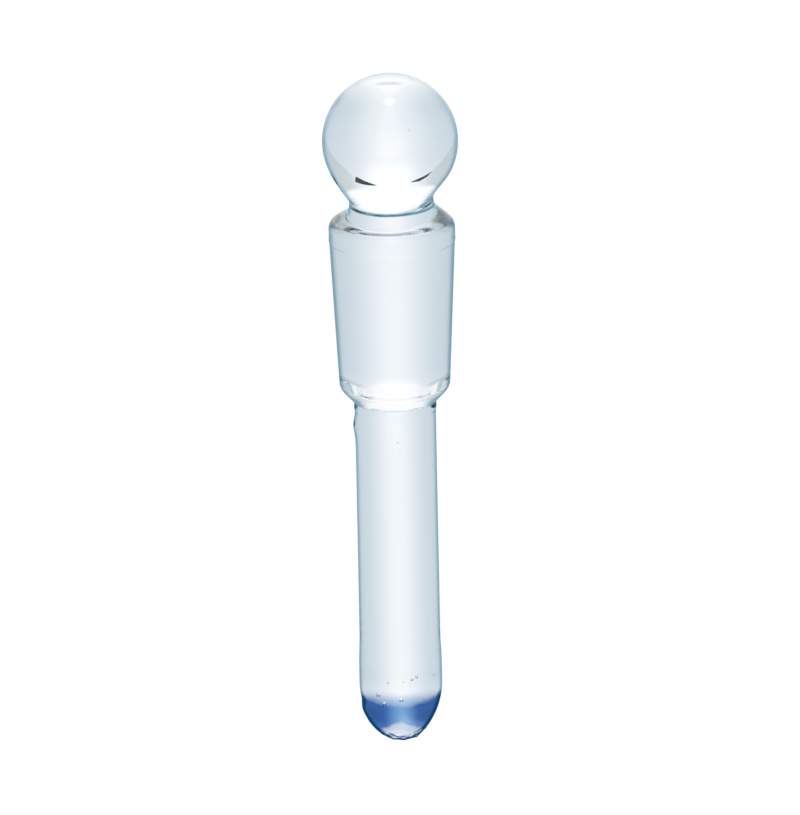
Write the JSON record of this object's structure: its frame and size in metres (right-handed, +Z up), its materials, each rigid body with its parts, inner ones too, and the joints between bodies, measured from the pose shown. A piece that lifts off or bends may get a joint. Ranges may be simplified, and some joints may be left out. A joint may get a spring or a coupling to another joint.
{
  "type": "glass stopper",
  "caption": "Solid glass stopper with a ball handle, a ground 1:10 joint and a long blue-tipped finger, lying on its side.",
  "frame": {"origin": "centre of the footprint, on the surface that the stopper lies on", "axes": "+Z up, +Y towards the ball handle, -Y towards the blue tip; the stopper's own axis rises 2.7 degrees towards +Y"},
  "size_m": [0.026, 0.1322, 0.026],
  "materials": {
    "clear_glass": "clear fire-polished glass, fine-ground on the joint, with blue glass at the tip of the finger"
  },
  "bodies": {
    "root": {"stopper": "clear_glass"}
  },
  "joints": []
}
